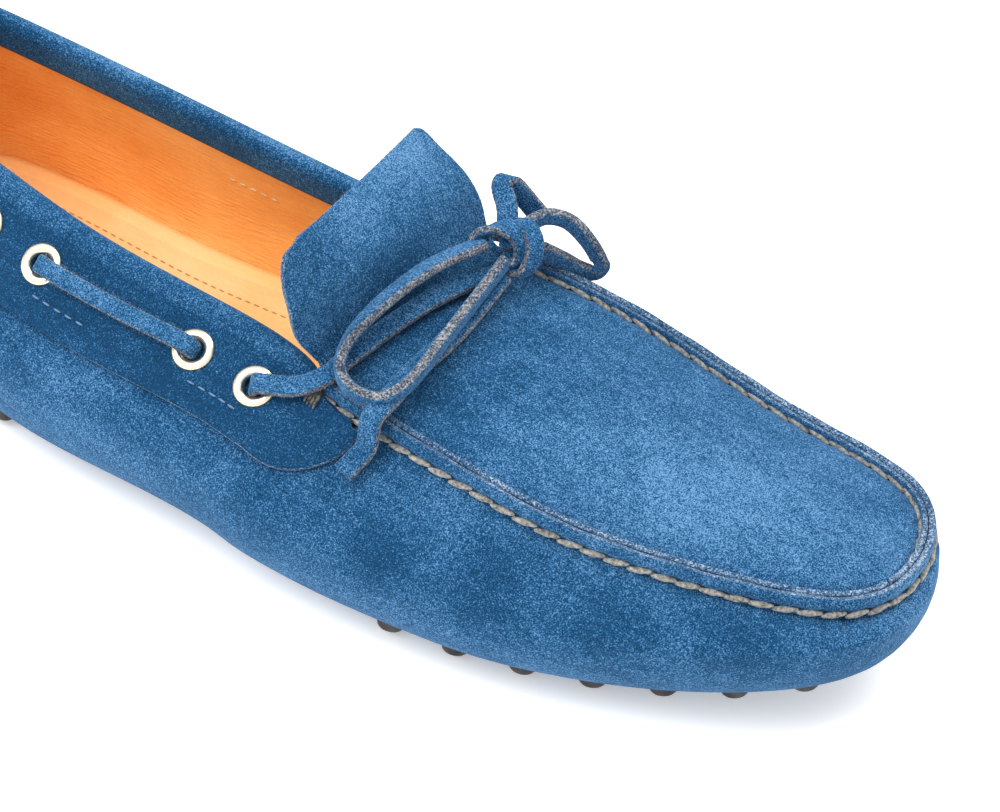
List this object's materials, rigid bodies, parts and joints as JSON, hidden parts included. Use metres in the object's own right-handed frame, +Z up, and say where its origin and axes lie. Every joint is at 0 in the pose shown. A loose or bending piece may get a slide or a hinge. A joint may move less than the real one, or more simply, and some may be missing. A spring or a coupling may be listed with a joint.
{
  "type": "driving loafer",
  "caption": "Right driving loafer in suede: raised hand-sewn apron seam, free tongue, collar band with eyelets and a bowed suede lace, flat leather insole and round rubber studs.",
  "frame": {"origin": "on the floor under the middle of the shoe's length and width, measured without the bow", "axes": "+X from heel to toe, +Y to the inner side of this right shoe, +Z up"},
  "size_m": [0.2883, 0.103, 0.082],
  "materials": {
    "suede": "blue suede, napped and matt",
    "band_suede": "blue suede, napped and matt",
    "lace": "flat blue suede lace with raw grey-brown edges",
    "insole": "tan leather, smooth, satin",
    "rubber": "dark rubber, matt",
    "eyelets": "pale gold, rolled"
  },
  "bodies": {
    "root": {"upper": "suede", "apron_and_tongue": "suede", "collar_band": "band_suede", "insole": "insole", "sole_forefoot": "rubber", "sole_heel": "rubber", "eyelet_1": "eyelets", "eyelet_2": "eyelets", "eyelet_3": "eyelets", "eyelet_4": "eyelets", "eyelet_5": "eyelets", "eyelet_6": "eyelets", "eyelet_7": "eyelets", "eyelet_8": "eyelets", "eyelet_9": "eyelets", "eyelet_10": "eyelets", "lace_bar_1": "lace", "lace_bar_2": "lace", "lace_bar_3": "lace", "lace_bar_4": "lace", "lace_crossing": "lace", "bow_knot": "lace", "bow_loop_near": "lace", "bow_loop_far": "lace", "bow_end_near": "lace", "bow_end_far": "lace"}
  },
  "joints": []
}
